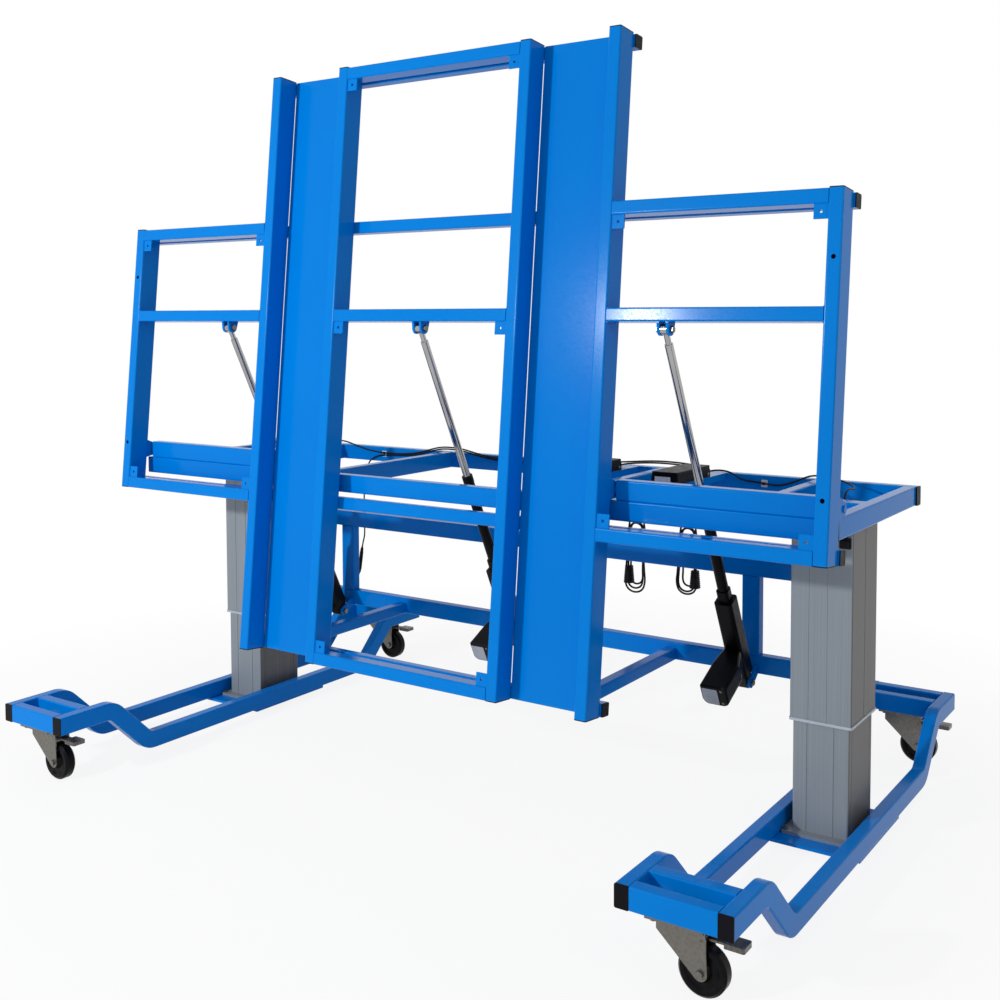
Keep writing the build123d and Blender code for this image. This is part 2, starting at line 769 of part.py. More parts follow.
with BuildPart() as centre_cross_tubes:
    for s in centre_cross_s:
        box_tube(crosswise_plane(-centre_half, s, cross_depth / 2), cross_height, cross_depth, 2 * centre_half)
save(centre_cross_tubes, "centre_cross_tubes")

with BuildPart() as wing_cross_tubes:
    for s in wing_cross_s:
        box_tube(crosswise_plane(wing_inner, s, cross_depth / 2), cross_height, cross_depth, wing_gap)
save_mirrored(wing_cross_tubes, "wing_cross_tubes")

with BuildPart() as rear_rails:
    for s, outer_x in rail_rows:
        rail_half = outer_x + upright_width / 2 + rail_overhang - cap_thickness
        rail_start = crosswise_plane(-rail_half, s, upright_depth + rail_size / 2)
        box_tube(rail_start, rail_size, rail_size, 2 * rail_half)
save(rear_rails, "rear_rails")

with BuildPart() as side_panels:
    panel_inner = long_inner + upright_width / 2 + panel_side_gap
    panel_outer = long_outer - upright_width / 2 - panel_side_gap
    panel_length = long_length - 2 * panel_end_gap
    with BuildSketch(front_plane(upright_depth)) as panel_outline:
        with Locations(((panel_inner + panel_outer) / 2, long_length / 2)):
            Rectangle(panel_outer - panel_inner, panel_length)
    extrude(amount=panel_thickness)
save_mirrored(side_panels, "side_panels")

# Gusset plates in the corners behind the front face
middle_under = middle_cross_s - cross_height / 2
centre_gusset_s = (
    centre_cross_s[0] + cross_height / 2 + gusset_size / 2,
    middle_under - gusset_size / 2,
    centre_cross_s[2] - cross_height / 2 - gusset_size / 2,
)
wing_gusset_s = (
    wing_cross_s[0] + cross_height / 2 + gusset_size / 2,
    wing_cross_s[2] - cross_height / 2 - gusset_size / 2,
)

with BuildPart() as gusset_plates:
    gusset_places = [(centre_half - gusset_size / 2, s) for s in centre_gusset_s]
    for s in wing_gusset_s:
        gusset_places.append((wing_inner + gusset_size / 2, s))
        gusset_places.append((wing_inner + wing_gap - gusset_size / 2, s))
    with BuildSketch(front_plane(gusset_recess)) as gusset_outline:
        with Locations(*gusset_places):
            Rectangle(gusset_size, gusset_size)
            Circle(gusset_hole_radius, mode=Mode.SUBTRACT)
    extrude(amount=-gusset_thickness)
save_mirrored(gusset_plates, "gusset_plates")

with BuildPart() as top_end_caps:
    for x in long_x:
        end_cap(upright_plane(x, long_length - cap_thickness), upright_width, upright_depth)
        end_cap(upright_plane(x, cap_thickness).offset(-cap_thickness), upright_width, upright_depth)
    end_cap(upright_plane(wing_x, wing_end - cap_thickness), upright_width, upright_depth)
    end_cap(upright_plane(wing_x, wing_start), upright_width, upright_depth)
    for s, outer_x in rail_rows:
        rail_end = outer_x + upright_width / 2 + rail_overhang - cap_thickness
        end_cap(crosswise_plane(rail_end, s, upright_depth + rail_size / 2), rail_size, rail_size)
save_mirrored(top_end_caps, "top_end_caps")

# Hinge lugs on the backs of four uprights
with BuildPart() as hinge_lugs:
    for x in (long_outer, wing_x):
        with BuildSketch(crosswise_plane(x - lug_thickness / 2, pivot_s, pivot_t)) as lug:
            Circle(lug_radius)
            with Locations((0, hinge_drop - 1)):
                Rectangle(2 * lug_half_length, 2)
            make_hull()
            Circle(hinge_pin_radius + running_gap, mode=Mode.SUBTRACT)
        extrude(amount=lug_thickness)
save_mirrored(hinge_lugs, "hinge_lugs")

# Clevises under the middle cross tubes; the bolt ends sit in the cheeks, the eye keeps the pin between them
with BuildPart() as clevises:
    for x in actuator_x:
        for side in (-1, 1):
            cheek_x = x + side * clevis_offset - cheek_thickness / 2
            with BuildSketch(crosswise_plane(cheek_x, upper_pin_s, upper_pin_t)) as clevis:
                Circle(cheek_radius)
                with Locations((upper_pin_drop - 1, 0)):
                    Rectangle(2, clevis_root)
                make_hull()
                Circle(bracket_pin_radius, mode=Mode.SUBTRACT)
            extrude(amount=cheek_thickness)
save(clevises, "clevises")

with BuildPart() as clevis_bolts:
    for x in actuator_x:
        for side in (-1, 1):
            face_x = x + side * (clevis_offset + cheek_thickness / 2)
            bolt_plane = Plane(on_worktop(face_x, upper_pin_s, upper_pin_t), x_dir=along, z_dir=(side, 0, 0))
            disc(bolt_plane, actuator_pin_radius, -cheek_thickness)
            hexagon(bolt_plane, nut_radius, nut_height)
save(clevis_bolts, "clevis_bolts")

# Actuators: gear housing with foot, outer tube, motor, and the chromed rod with its eye
bore_start = mouth - rod_guide - stroke - rod_gap
motor_direction = Vector(0, -actuator_axis.Z, actuator_axis.Y)


def actuator_body(x):
    pin = Vector(x, 0, 0) + lower_pin
    motor_centre = pin + actuator_axis * motor_height
    neck_start = housing_depth / 2 + seam
    pin_plane = side_plane(x - foot_eye_width / 2, lower_pin_y, lower_pin_z)

    def motor_plane(distance, offset=0):
        origin = motor_centre + motor_direction * distance + Vector(offset, 0, 0)
        return Plane(origin, x_dir=(1, 0, 0), z_dir=motor_direction)

    def motor_outline():
        with BuildSketch(motor_plane(motor_neck_end, motor_offset)) as outline:
            Rectangle(motor_width, motor_depth)
            corners = outline.vertices().sort_by(Axis.Y)
            fillet(corners[:2], motor_heel)
            fillet(outline.vertices().group_by(Axis.Y)[-1], motor_corner)
        return outline.sketch

    with BuildPart() as body:
        with BuildSketch(actuator_plane(x, housing_start)) as housing:
            RectangleRounded(housing_width, housing_depth, housing_corner)
        extrude(amount=housing_shoulder - housing_start)
        with BuildSketch(actuator_plane(x, housing_shoulder)) as shoulder:
            RectangleRounded(housing_width, housing_depth, housing_corner)
        with BuildSketch(actuator_plane(x, housing_end)) as shoulder_top:
            top_size = (housing_width - 2 * housing_bevel, housing_depth - 2 * housing_bevel)
            RectangleRounded(*top_size, housing_corner)
        loft([shoulder.sketch, shoulder_top.sketch], ruled=True)
        with BuildSketch(Plane(pin_plane.origin, x_dir=actuator_axis, z_dir=(1, 0, 0))) as foot:
            Circle(foot_eye_radius)
            with Locations((housing_start - 1, 0)):
                Rectangle(2, foot_root)
            make_hull()
        extrude(amount=foot_eye_width)
        disc(actuator_plane(x, housing_end), outer_tube_radius, mouth - housing_end)
        disc(actuator_plane(x, mouth - tube_collar_length), tube_collar_radius, tube_collar_length)
        disc(actuator_plane(x, bore_start), rod_radius + rod_gap, mouth - bore_start, Mode.SUBTRACT)
        disc(pin_plane, actuator_pin_radius + running_gap, foot_eye_width, Mode.SUBTRACT)
        with BuildSketch(motor_plane(neck_start)) as neck:
            RectangleRounded(motor_neck_width, motor_neck_depth, motor_corner)
        loft([neck.sketch, motor_outline()], ruled=True)
        extrude(motor_outline(), amount=motor_reach - motor_neck_end)
        motor_end = body.faces().sort_by(Axis(motor_centre, motor_direction))[-1]
        chamfer(motor_end.edges(), motor_rim)
    return body


def actuator_rod(x):
    rod_start = mouth - rod_guide
    head_start = actuator_length - rod_head_length
    eye_plane = Plane(upper_pin + Vector(x - eye_width / 2, 0, 0), x_dir=(0, 1, 0), z_dir=(1, 0, 0))
    with BuildPart() as rod:
        disc(actuator_plane(x, rod_start), rod_radius, head_start - rod_start)
        disc(actuator_plane(x, head_start), rod_neck_radius, rod_head_length)
        disc(eye_plane, eye_radius, eye_width)
    return rod


for actuator_name, actuator_place in zip(("left", "centre", "right"), actuator_x):
    save(actuator_body(actuator_place), f"actuator_body_{actuator_name}")
    save(actuator_rod(actuator_place), f"actuator_rod_{actuator_name}")


# Glands: on the back ends of the control boxes, on the columns' plates and on the lower rear beam
gland_z = beam_top + box_lid / 2
second_box_x, first_box_x = box_x
link_gland = Vector(first_box_x - gland_spacing, box_back, gland_z)
supply_gland = Vector(first_box_x, box_back, gland_z)
right_gland = Vector(first_box_x + gland_spacing, box_back, gland_z)
left_gland = Vector(second_box_x - gland_spacing, box_back, gland_z)
return_gland = Vector(second_box_x + gland_spacing, box_back, gland_z)
right_column_gland = Vector(foot_x, column_gland_y, beam_bottom + head_plate)
left_column_gland = Vector(-foot_x, column_gland_y, beam_bottom + head_plate)
lead_gland = Vector(lead_x, hanging_back, lead_gland_z)
hank_half = hank_loops * hank_pitch / 2
connector_top = Vector(lead_x - 18, lead_y, 594)
connector_down = Vector(-0.14, -0.02, -1).normalized()
connector_bottom = connector_top + connector_down * connector_length

with BuildPart() as cable_fittings:
    for gland in (link_gland, supply_gland, right_gland, left_gland, return_gland, lead_gland):
        disc(Plane(gland, z_dir=(0, 1, 0)), gland_radius, gland_length)
    for gland in (right_column_gland, left_column_gland):
        disc(Plane(gland, z_dir=(0, 0, 1)), gland_radius, gland_length)
    for x in hank_x:
        for side in (-1, 1):
            hank_gland = (x + side * hank_top_radius, rear_beam_y + side * hank_half, beam_bottom)
            disc(Plane(hank_gland, z_dir=(0, 0, -1)), 2 * hank_radius - 1, gland_length)
    disc(Plane(connector_top, z_dir=connector_down), connector_radius, connector_length)
save(cable_fittings, "cable_fittings")


# Cables: tubes along straight runs joined by arcs as large as the runs allow
def corner_radii(points):
    """Radius of the arc at each inner point of a route: 0.45 of the shorter run over tan of half the turn."""
    radii = []
    for before, here, after in zip(points, points[1:], points[2:]):
        turn = math.radians((here - before).get_angle(after - here))
        shorter = min((here - before).length, (after - here).length)
        radii.append(0.45 * shorter / math.tan(turn / 2))
    return radii


def cable(route):
    """Cable along a route, square to what its two ends meet."""
    points = [Vector(*point) for point in route]
    radii = corner_radii(points)
    print("cable arc radii:", ", ".join(f"{radius:.0f}" for radius in radii))
    with BuildLine() as path:
        FilletPolyline(*points, radius=radii)
    with BuildSketch(Plane(points[0], z_dir=points[1] - points[0])) as section:
        RegularPolygon(cable_radius, cable_sides)
    sweep(section.sketch, path=path.line)


beside_y = rear_beam_front - cable_radius - cable_lift
out = Vector(0, gland_length, 0)
rise = Vector(0, 0, gland_length)
half_stack = Vector(0, 0, cable_stack / 2)
shared_route = [
    Vector(115, beside_y, 1034),
    Vector(40, beside_y, 1028),
    Vector(-45, beside_y, 1024.5),
    Vector(-130, beside_y, 1023),
    Vector(-215, beside_y, 1025),
    Vector(-285, beside_y, 1031),
    Vector(-345, beside_y, 1041.5),
    Vector(-397, beside_y, 1052),
    Vector(-450, beside_y, 1056),
    Vector(-508, beside_y, 1055),
    Vector(-562, beside_y, 1042),
    Vector(-622, beside_y, 1025),
    Vector(-690, beside_y, 1016),
    Vector(-760, beside_y, 1013),
]
link_route = [
    link_gland + out,
    link_gland + out + Vector(0, 18, 0),
    (628, 365, 1054.5),
    (606, 382, 1057),
    (574, 393, 1059),
    (532, 398, 1060),
    (488, 399, 1060.5),
    (446, 398, 1059.5),
    (410, 391, 1057.5),
    (380, 378, 1055.5),
    (360, 362, 1054),
    return_gland + out + Vector(0, 18, 0),
    return_gland + out,
]
supply_route = [
    supply_gland + out,
    supply_gland + out + Vector(0, 20, 0),
    (657, 368, 1054),
    (643, 388, 1056),
    (621, 402, 1059),
    (588, 411, 1062),
    (546, 415, 1064),
    (498, 417, 1065),
    (448, 417.5, 1064),
    (400, 417, 1060.5),
    (350, 416.5, 1055.5),
    (300, 417, 1051),
    (245, 418.5, 1045.5),
    (184, beside_y, 1037.5),
]
supply_route += [point - half_stack for point in shared_route]
supply_route += [
    (-808, beside_y - 1, 1008),
    (-847, beside_y - 3, 1001),
    (-876, beside_y - 5, 985),
    (-894, lead_y + 2, 958),
    (-903, lead_y + 1, 922),
    (-908, lead_y, 878),
    (-911, lead_y - 1, 824),
    (-911.5, lead_y - 1, 765),
    (-910, lead_y - 0.5, 710),
    (-910, lead_y, 664),
    connector_top - connector_down * 33,
    connector_top,
]
lead_end = lead_gland + out
lead_route = [
    connector_bottom,
    connector_bottom + connector_down * 22,
    lead_end + Vector(-34, 74, 22),
    lead_end + Vector(-27, 48, 4),
    lead_end + Vector(-9, 28, 0.3),
    lead_end + Vector(0, 12, 0),
    lead_end,
]
left_column_end = left_column_gland + rise
left_route = [
    left_gland + out,
    left_gland + out + Vector(0, 19, 0),
    (290, 366, 1053.5),
    (275, 386, 1053.5),
    (250, 403, 1053),
    (216, 414, 1051),
    (170, 419, 1046),
]
left_route += [point + half_stack for point in shared_route]
left_route += [
    (-828, beside_y, 1018),
    (-890, beside_y, 1024),
    (-945, beside_y - 0.5, 1036),
    (-990, beside_y - 2, 1049),
    (-1028, beside_y - 5, 1056),
    (-1075, beside_y - 11, 1056),
    (-1118, beside_y - 23, 1050),
    (-1156, beside_y - 45, 1044),
    (-1186, beside_y - 76, 1039.5),
    (-1203, beside_y - 110, 1037),
    left_column_end + Vector(-1, 86, 38),
    left_column_end + Vector(0, 54, 44),
    left_column_end + Vector(0, 26, 43),
    left_column_end + Vector(0, 7, 30),
    left_column_end + Vector(0, 0, 11),
    left_column_end,
]
right_column_end = right_column_gland + rise
right_route = [
    right_gland + out,
    right_gland + out + Vector(0, 19, 0),
    (699, 366, 1053.5),
    (712, 385, 1053),
    (731, 400, 1049.5),
    (750, 410, 1040),
    (768, 415.5, 1027),
    (792, 419, 1019),
    (823, beside_y, 1018),
    (857, beside_y, 1014.5),
    (892, beside_y, 1010.5),
    (928, beside_y, 1014),
    (964, beside_y - 1, 1027),
    (998, beside_y - 2, 1043),
    (1027, beside_y - 5, 1054),
    (1075, beside_y - 11, 1055),
    (1118, beside_y - 23, 1050),
    (1156, beside_y - 45, 1044),
    (1186, beside_y - 76, 1039.5),
    (1203, beside_y - 110, 1037),
    right_column_end + Vector(1, 86, 38),
    right_column_end + Vector(0, 54, 44),
    right_column_end + Vector(0, 26, 43),
    right_column_end + Vector(0, 7, 30),
    right_column_end + Vector(0, 0, 11),
    right_column_end,
]

with BuildPart() as frame_cables:
    for route in (link_route, supply_route, lead_route, left_route, right_route):
        cable(route)
save(frame_cables, "frame_cables")


# Hanks: teardrop loops side by side, each a little smaller and one pitch further on its way up
def least_gap(wire, diameter):
    """Least gap of a wound tube to itself, on points that lie more than one loop width apart along it."""
    count = hank_samples
    step = wire.length / count
    points = [tuple(wire.position_at(index / count)) for index in range(count + 1)]
    skip = int(2 * hank_bottom_radius / step) + 1
    pairs = ((first, second) for first in range(count) for second in range(first + skip, count + 1))
    return min(math.dist(points[first], points[second]) for first, second in pairs) - diameter


def hank(x, bottom):
    low = bottom + hank_radius + hank_bottom_radius
    first_y = rear_beam_y - hank_half
    down = (0, 0, -1)
    up = (0, 0, 1)
    with BuildLine() as path:
        top_left = Vector(x - hank_top_radius, first_y, hank_neck)
        Line((top_left.X, top_left.Y, beam_bottom - gland_length), top_left)
        for loop in range(hank_loops):
            loop_radius = hank_bottom_radius - loop * hank_shrink
            bottom_left = Vector(x - loop_radius, top_left.Y, low)
            bottom_right = Vector(x + loop_radius, top_left.Y, low)
            top_right = Vector(x + hank_top_radius, top_left.Y + hank_pitch, hank_neck)
            left_middle = (top_left + bottom_left) / 2
            right_middle = (bottom_right + top_right) / 2
            inward = TangentArc(top_left, left_middle, tangent=down)
            TangentArc(left_middle, bottom_left, tangent=inward % 1)
            TangentArc(bottom_left, bottom_right, tangent=down)
            outward = TangentArc(bottom_right, right_middle, tangent=up)
            TangentArc(right_middle, top_right, tangent=outward % 1)
            if loop < hank_loops - 1:
                top_left = Vector(x - hank_top_radius, top_right.Y, hank_neck)
                TangentArc(top_right, top_left, tangent=up)
        Line(top_right, (top_right.X, top_right.Y, beam_bottom - gland_length))
    print("hank gap to itself:", round(least_gap(path.wire(), 2 * hank_radius), 2))
    with BuildPart() as wound:
        start = Vector(x - hank_top_radius, first_y, beam_bottom - gland_length)
        with BuildSketch(Plane(start, z_dir=down)) as section:
            RegularPolygon(hank_radius, cable_sides)
        sweep(section.sketch, path=path.wire())
    return wound


for hank_name, hank_place, hank_low in zip(("left", "right"), hank_x, hank_bottom):
    save(hank(hank_place, hank_low), f"hank_{hank_name}")
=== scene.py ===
import json
import math

import bmesh
import bpy
from mathutils import Matrix, Vector


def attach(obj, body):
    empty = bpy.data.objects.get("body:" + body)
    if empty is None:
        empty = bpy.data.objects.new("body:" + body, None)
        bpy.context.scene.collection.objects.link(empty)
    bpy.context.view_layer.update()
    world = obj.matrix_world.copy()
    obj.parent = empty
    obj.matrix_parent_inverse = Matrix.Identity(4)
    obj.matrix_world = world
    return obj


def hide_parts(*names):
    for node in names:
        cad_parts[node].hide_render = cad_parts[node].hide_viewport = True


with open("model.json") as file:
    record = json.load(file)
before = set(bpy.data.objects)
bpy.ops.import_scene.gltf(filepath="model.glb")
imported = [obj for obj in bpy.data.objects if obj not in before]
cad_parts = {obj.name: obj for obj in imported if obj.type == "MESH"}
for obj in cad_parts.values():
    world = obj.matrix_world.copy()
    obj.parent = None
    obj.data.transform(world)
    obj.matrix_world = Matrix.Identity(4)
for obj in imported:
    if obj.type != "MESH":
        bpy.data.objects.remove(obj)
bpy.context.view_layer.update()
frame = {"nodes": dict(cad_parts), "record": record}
nodes = frame["nodes"]


# Camera: place, axes and focal length of the photograph's view
def make_camera():
    place = Vector((2.4206, -3.3719, 1.5742))
    forward = Vector((-0.550397, 0.833206, -0.0532)).normalized()
    right = Vector((0.834442, 0.551093, -0.001886)).normalized()
    up = right.cross(forward)
    data = bpy.data.cameras.new("photo_camera")
    data.sensor_width = 36.0
    data.lens = 43.347
    data.shift_x = -0.03036
    data.shift_y = -0.11871
    camera = bpy.data.objects.new("photo_camera", data)
    bpy.context.scene.collection.objects.link(camera)
    turned = Matrix((right, up, -forward)).transposed()
    camera.matrix_world = Matrix.Translation(place) @ turned.to_4x4()
    bpy.context.scene.camera = camera


make_camera()


# Finishes: Principled materials patterned by noise and cells
class Finish:
    """A Principled material under construction, with patterns in the part's own metres."""

    def __init__(self, name):
        self.material = bpy.data.materials.new(name)
        self.material.use_nodes = True
        self.tree = self.material.node_tree
        self.shader = self.tree.nodes["Principled BSDF"]
        self.place = self.tree.nodes.new("ShaderNodeTexCoord").outputs["Object"]

    def node(self, kind, **inputs):
        made = self.tree.nodes.new(kind)
        for socket, value in inputs.items():
            self.feed(value, made.inputs[socket.replace("_", " ")])
        return made

    def feed(self, value, socket):
        if isinstance(value, bpy.types.NodeSocket):
            self.tree.links.new(value, socket)
        else:
            socket.default_value = value

    def set(self, **inputs):
        for socket, value in inputs.items():
            self.feed(value, self.shader.inputs[socket.replace("_", " ")])
        return self

    def stretched(self, scale):
        """Places squeezed by a scale per axis, which draws a pattern out along the axes with small scales."""
        return self.node("ShaderNodeMapping", Vector=self.place, Scale=scale).outputs["Vector"]

    def noise(self, scale, detail=2.0, place=None):
        made = self.node("ShaderNodeTexNoise", Vector=place or self.place, Scale=scale, Detail=detail)
        return made.outputs["Fac"]

    def cells(self, scale):
        made = self.node("ShaderNodeTexVoronoi", Vector=self.place, Scale=scale)
        return made.outputs["Distance"]

    def span(self, value, low=0.0, high=1.0, start=0.3, end=0.7):
        """Map the values from start to end onto low to high."""
        made = self.node("ShaderNodeMapRange", Value=value)
        for socket, number in (("From Min", start), ("From Max", end), ("To Min", low), ("To Max", high)):
            made.inputs[socket].default_value = number
        return made.outputs["Result"]

    def mix(self, share, first, second):
        made = self.tree.nodes.new("ShaderNodeMix")
        made.data_type = "RGBA"
        self.feed(share, made.inputs["Factor"])
        colour_sockets = [socket for socket in made.inputs if socket.type == "RGBA"]
        for socket, colour in zip(colour_sockets, (first, second)):
            socket.default_value = (*colour, 1.0)
        return [socket for socket in made.outputs if socket.type == "RGBA"][0]

    def bump(self, height, strength, distance):
        made = self.node("ShaderNodeBump", Strength=strength, Distance=distance, Height=height)
        self.tree.links.new(made.outputs["Normal"], self.shader.inputs["Normal"])
        return self


def make_paint():
    paint = Finish("blue_powder_coat")
    drift = paint.span(paint.noise(2.0))
    paint.set(
        Base_Color=paint.mix(drift, (0.0, 0.196, 0.655), (0.0, 0.21, 0.69)),
        Roughness=paint.span(paint.noise(140.0, detail=3.0), 0.13, 0.18),
        Specular_IOR_Level=0.06,
    )
    return paint.bump(paint.noise(520.0, detail=3.0), strength=0.03, distance=0.0003).material


def make_cap_plastic():
    plastic = Finish("black_cap_plastic")
    speck = plastic.span(plastic.noise(900.0), start=0.45, end=0.75)
    plastic.set(
        Base_Color=plastic.mix(speck, (0.002, 0.002, 0.004), (0.008, 0.008, 0.012)),
        Roughness=plastic.span(plastic.noise(60.0), 0.36, 0.5),
        Specular_IOR_Level=0.08,
    )
    return plastic.bump(plastic.cells(700.0), strength=0.2, distance=0.0004).material


def make_housing_plastic():
    plastic = Finish("black_housing_plastic")
    drift = plastic.span(plastic.noise(14.0))
    plastic.set(
        Base_Color=plastic.mix(drift, (0.0015, 0.0015, 0.002), (0.004, 0.004, 0.005)),
        Roughness=plastic.span(plastic.noise(90.0), 0.3, 0.42),
        Specular_IOR_Level=0.07,
    )
    return plastic.bump(plastic.noise(1100.0), strength=0.2, distance=0.0003).material


def make_column_metal(name, dark, light):
    metal = Finish(name)
    drawn = metal.noise(260.0, detail=3.0, place=metal.stretched((1.0, 1.0, 0.004)))
    metal.set(
        Base_Color=metal.mix(metal.span(drawn), dark, light),
        Metallic=0.12,
        Roughness=metal.span(drawn, 0.36, 0.48),
        Specular_IOR_Level=0.2,
    )
    return metal.bump(drawn, strength=0.06, distance=0.0003).material


def make_pale_plastic(name, dark, light):
    pale = Finish(name)
    pale.set(
        Base_Color=pale.mix(pale.span(pale.noise(30.0)), dark, light),
        Roughness=pale.span(pale.noise(120.0), 0.35, 0.5),
        Specular_IOR_Level=0.3,
    )
    return pale.bump(pale.noise(600.0), strength=0.1, distance=0.0003).material


def make_zinc(name, dark, light):
    zinc = Finish(name)
    patch = zinc.cells(120.0)
    cloud = zinc.noise(45.0, detail=4.0)
    zinc.set(
        Base_Color=zinc.mix(zinc.span(patch, start=0.1, end=0.7), dark, light),
        Metallic=0.7,
        Roughness=zinc.span(cloud, 0.22, 0.38),
    )
    return zinc.bump(zinc.noise(300.0), strength=0.08, distance=0.0003).material


def make_chrome():
    chrome = Finish("polished_rod")
    ground = chrome.noise(900.0, place=chrome.stretched((1.0, 0.05, 0.05)))
    drift = chrome.span(chrome.noise(8.0))
    chrome.set(
        Base_Color=chrome.mix(drift, (0.34, 0.335, 0.33), (0.42, 0.415, 0.41)),
        Metallic=1.0,
        Roughness=chrome.span(ground, 0.08, 0.16),
    )
    return chrome.bump(ground, strength=0.02, distance=0.0002).material


def make_wheel_black():
    wheel = Finish("black_wheel")
    scuff = wheel.span(wheel.noise(50.0))
    wheel.set(
        Base_Color=wheel.mix(scuff, (0.002, 0.002, 0.003), (0.006, 0.006, 0.007)),
        Roughness=wheel.span(wheel.noise(130.0), 0.24, 0.36),
        Specular_IOR_Level=0.08,
    )
    return wheel.bump(wheel.noise(500.0, detail=3.0), strength=0.1, distance=0.0004).material


def make_rubber(name):
    rubber = Finish(name)
    worn = rubber.span(rubber.noise(70.0))
    rubber.set(
        Base_Color=rubber.mix(worn, (0.004, 0.004, 0.005), (0.012, 0.012, 0.013)),
        Roughness=rubber.span(rubber.noise(200.0), 0.4, 0.55),
        Specular_IOR_Level=0.1,
    )
    return rubber.bump(rubber.noise(800.0), strength=0.2, distance=0.0003).material


finishes = {
    "blue_paint": make_paint(),
    "black_plastic": make_cap_plastic(),
    "actuator_black": make_housing_plastic(),
    "column_aluminium": make_column_metal("anodised_column", (0.24, 0.272, 0.3), (0.28, 0.312, 0.34)),
    "seal": make_pale_plastic("light_grey_seal", (0.45, 0.5, 0.55), (0.52, 0.57, 0.62)),
    "zinc": make_zinc("zinc_plated_steel", (0.135, 0.127, 0.113), (0.17, 0.16, 0.143)),
    "rod_chrome": make_chrome(),
    "wheel": make_wheel_black(),
    "rubber": make_rubber("black_rubber"),
    "cable": make_rubber("black_cable_jacket"),
    "pedal": make_zinc("dark_pedal_steel", (0.07, 0.065, 0.058), (0.13, 0.122, 0.11)),
}
# Darker grey for the columns' sides: painted shade that stands for the side faces lying in shade. It is the
# same anodised metal as the fronts.
column_painted_shade = make_column_metal("anodised_column_painted_shade", (0.115, 0.113, 0.112), (0.155, 0.152, 0.15))
white_nylon = make_pale_plastic("white_nylon", (0.66, 0.68, 0.7), (0.74, 0.76, 0.78))
bare_plate = make_pale_plastic("bare_plate", (0.3, 0.33, 0.38), (0.36, 0.39, 0.44))


def dress(node, finish):
    """Put one finish on a whole node."""
    slots = node.data.materials
    slots.clear()
    slots.append(finish)
    node.data.polygons.foreach_set("material_index", [0] * len(node.data.polygons))


def paint_shade_on_sides(node, finish):
    """Put a darker second material on the faces of a node that look along X, as painted shade on its sides.
    """
    near_x = 0.8
    node.data.materials.append(finish)
    for face in node.data.polygons:
        if abs(face.normal.x) > near_x:
            face.material_index = 1


for entry in frame["record"]["subparts"]:
    dress(nodes[entry["node"]], finishes[entry["material_slot"]])
# The columns' sides that look along X get painted shade, darker than their fronts.
for column_node in ("column_outer_tubes", "column_inner_tubes"):
    paint_shade_on_sides(nodes[column_node], column_painted_shade)
dress(nodes["hinge_pins"], finishes["blue_paint"])


# Cords: one NURBS line each along the cable routes, held off the rear beam by the tie mounts
def make_cord(name, points, radius):
    curve = bpy.data.curves.new(name, "CURVE")
    curve.dimensions = "3D"
    curve.bevel_depth = radius
    curve.bevel_resolution = 3
    curve.use_fill_caps = True
    curve.resolution_u = 8
    spline = curve.splines.new("NURBS")
    spline.points.add(len(points) - 1)
    for knot, place in zip(spline.points, points):
        knot.co = (*place, 1.0)
    spline.order_u = 3
    spline.use_endpoint_u = True
    cord = bpy.data.objects.new(name, curve)
    bpy.context.scene.collection.objects.link(cord)
    curve.materials.append(finishes["cable"])
    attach(cord, "lift")
    return cord


cable_radius = 0.003
# The cables' depth along the rear beam, and the outer ends of the control boxes' glands
cable_y = 0.417
gland_end_y = 0.326
gland_z = 1.0525
left_gland_x = 0.297
return_gland_x = 0.353
link_gland_x = 0.636
supply_gland_x = 0.664
right_gland_x = 0.692
lead_y = 0.412
# Half the distance between the two cables that run one above the other
half_stack = Vector((0.0, 0.0, 0.0037))
shared_route = [
    Vector((0.115, cable_y, 1.034)),
    Vector((0.04, cable_y, 1.028)),
    Vector((-0.045, cable_y, 1.0245)),
    Vector((-0.13, cable_y, 1.023)),
    Vector((-0.215, cable_y, 1.025)),
    Vector((-0.285, cable_y, 1.031)),
    Vector((-0.345, cable_y, 1.0415)),
    Vector((-0.397, cable_y, 1.052)),
    Vector((-0.45, cable_y, 1.056)),
    Vector((-0.508, cable_y, 1.055)),
    Vector((-0.562, cable_y, 1.042)),
    Vector((-0.622, cable_y, 1.025)),
    Vector((-0.69, cable_y, 1.016)),
    Vector((-0.76, cable_y, 1.013)),
]
link_route = [
    (link_gland_x, gland_end_y, gland_z),
    (link_gland_x, 0.344, gland_z),
    (0.628, 0.365, 1.0545),
    (0.606, 0.382, 1.057),
    (0.574, 0.393, 1.059),
    (0.532, 0.398, 1.06),
    (0.488, 0.399, 1.0605),
    (0.446, 0.398, 1.0595),
    (0.41, 0.391, 1.0575),
    (0.38, 0.378, 1.0555),
    (0.36, 0.362, 1.054),
    (return_gland_x, 0.344, gland_z),
    (return_gland_x, gland_end_y, gland_z),
]
connector_top = Vector((-0.928, lead_y, 0.594))
connector_down = Vector((-0.14, -0.02, -1.0)).normalized()
connector_length = 0.074
connector_bottom = connector_top + connector_down * connector_length
supply_route = [
    (supply_gland_x, gland_end_y, gland_z),
    (supply_gland_x, 0.346, gland_z),
    (0.657, 0.368, 1.054),
    (0.643, 0.388, 1.056),
    (0.621, 0.402, 1.059),
    (0.588, 0.411, 1.062),
    (0.546, 0.415, 1.064),
    (0.498, 0.4165, 1.065),
    (0.448, 0.4165, 1.064),
    (0.4, 0.4165, 1.0605),
    (0.35, 0.4165, 1.0555),
    (0.3, 0.4165, 1.051),
    (0.245, 0.4165, 1.0455),
    (0.184, cable_y, 1.0375),
]
supply_route += [point - half_stack for point in shared_route]
